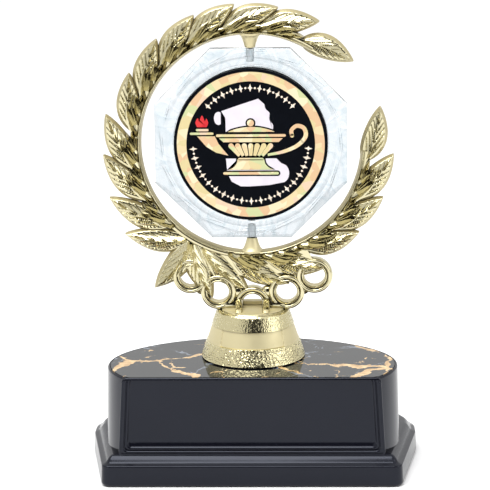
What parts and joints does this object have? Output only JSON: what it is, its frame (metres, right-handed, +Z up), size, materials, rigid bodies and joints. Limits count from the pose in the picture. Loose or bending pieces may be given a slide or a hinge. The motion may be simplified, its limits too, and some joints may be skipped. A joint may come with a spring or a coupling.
{
  "type": "laurel wreath spinner trophy",
  "caption": "Black moulded base with a marble-look top, a gold conical riser and a C-shaped laurel wreath whose clear octagonal spinner turns on upright pivots and holds disc inserts.",
  "frame": {"origin": "centre of the underside of the base, on the surface it stands on", "axes": "+Z up along the spinner's axis, -Y towards the front of the base, +X to the viewer's right"},
  "size_m": [0.11, 0.058, 0.1555],
  "materials": {
    "black_moulding": "satin moulded polystyrene",
    "marble_laminate": "glossy printed marble pattern",
    "filler": "cast plaster",
    "felt": "self-adhesive felt",
    "fixings": "zinc plated",
    "gold_moulding": "vacuum-metallised pale gold plastic",
    "clear_acrylic": "polished clear plastic",
    "printed_foil": "printed holographic foil"
  },
  "bodies": {
    "trophy": {"base_shell": "black_moulding", "marble_top": "marble_laminate", "base_weight": "filler", "felt_pad": "felt", "threaded_rod": "fixings", "flat_washer": "fixings", "spring_washer": "fixings", "hex_nut": "fixings", "riser": "gold_moulding", "captive_nut": "fixings", "ring_row": "gold_moulding", "wreath_stem": "gold_moulding", "left_branch": "gold_moulding", "right_branch": "gold_moulding", "upper_pivot": "gold_moulding", "lower_pivot": "gold_moulding"},
    "spinner": {"spinner_body": "clear_acrylic", "front_insert": "printed_foil", "back_insert": "printed_foil"}
  },
  "joints": [
    {"name": "spinner_spin", "type": "hinge", "parent": "trophy", "child": "spinner", "pos_m": [0, 0.0025, 0.1091], "axis": [0, 0, 1], "continuous": true}
  ]
}
